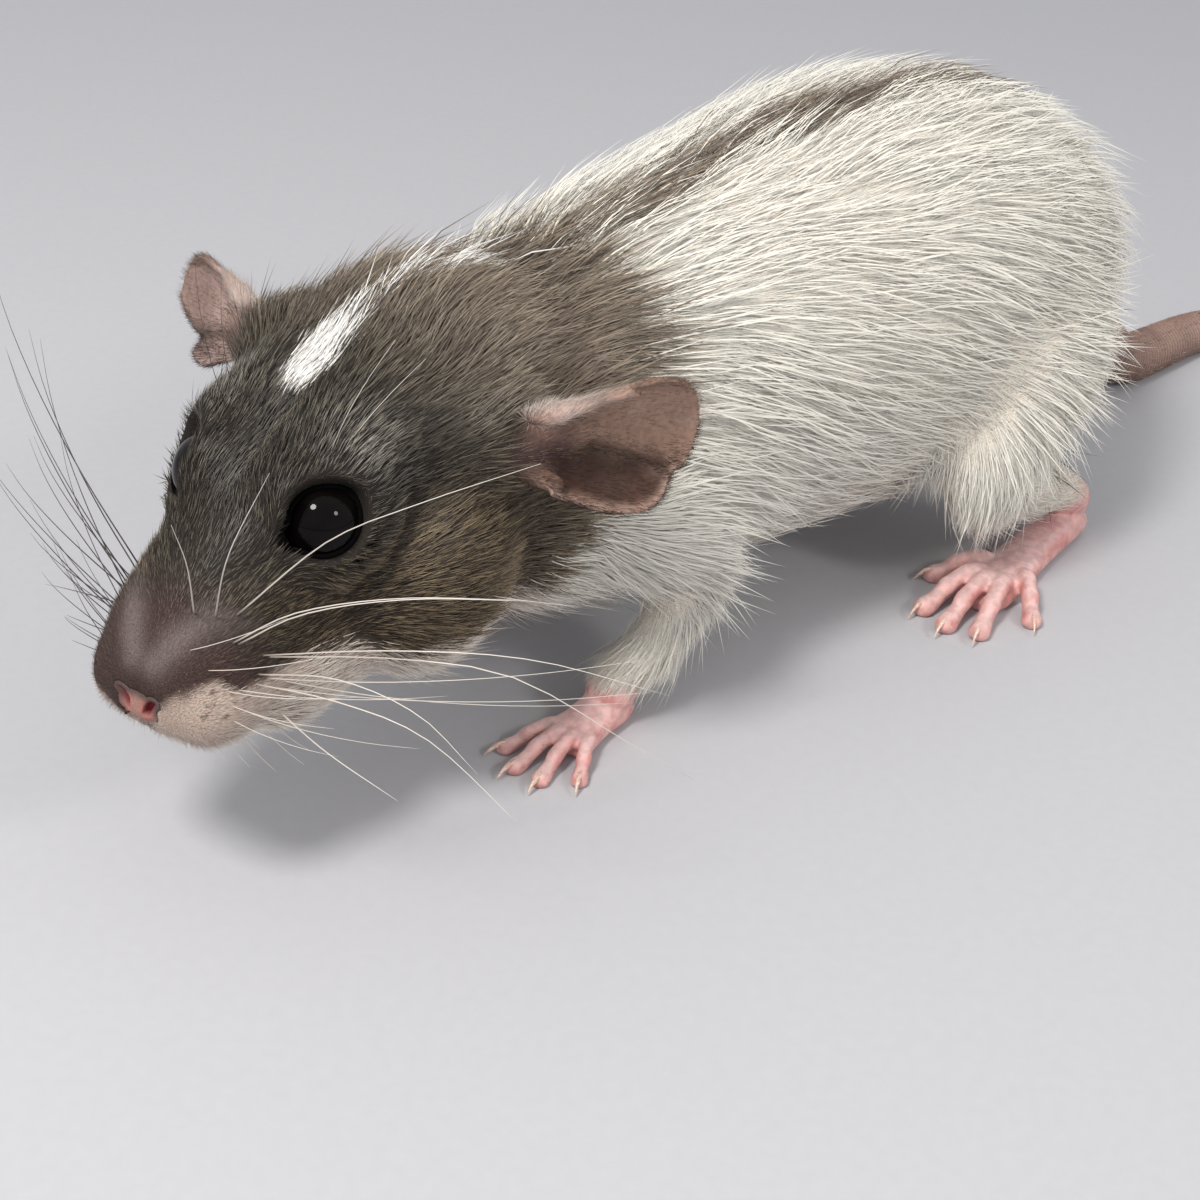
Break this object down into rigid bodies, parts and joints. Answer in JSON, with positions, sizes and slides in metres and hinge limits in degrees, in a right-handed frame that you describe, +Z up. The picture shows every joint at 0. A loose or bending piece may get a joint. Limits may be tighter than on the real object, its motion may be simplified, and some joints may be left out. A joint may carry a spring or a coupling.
{
  "type": "pet rat model",
  "caption": "Life-size still model of a young hooded pet rat standing on all fours, head turned a little left, tail curled round on the floor.",
  "frame": {"origin": "middle of the bounding box in plan, at the level of the soles", "axes": "+X forward, from tail to nose; +Y to the animal's left; +Z up"},
  "size_m": [0.2464, 0.1178, 0.0619],
  "materials": {
    "dark_fur": "short brown-grey fur with pale tips and a white blaze",
    "pale_fur": "soft cream-white fur",
    "pink_skin": "bare, slightly moist skin",
    "ear_skin": "thin bare skin with fine fuzz",
    "tail_skin": "ringed scaly skin with short bristles",
    "eye_black": "wet, glossy black"
  },
  "bodies": {
    "root": {"head": "dark_fur", "neck": "dark_fur", "torso": "pale_fur", "front_left_leg": "pale_fur", "front_right_leg": "pale_fur", "hind_left_leg": "pale_fur", "hind_right_leg": "pale_fur", "front_left_foot": "pink_skin", "front_right_foot": "pink_skin", "hind_left_foot": "pink_skin", "hind_right_foot": "pink_skin", "nose": "pink_skin", "ear_left": "ear_skin", "ear_right": "ear_skin", "eye_left": "eye_black", "eye_right": "eye_black", "tail_base": "tail_skin", "tail_middle": "tail_skin", "tail_tip": "tail_skin"}
  },
  "joints": []
}
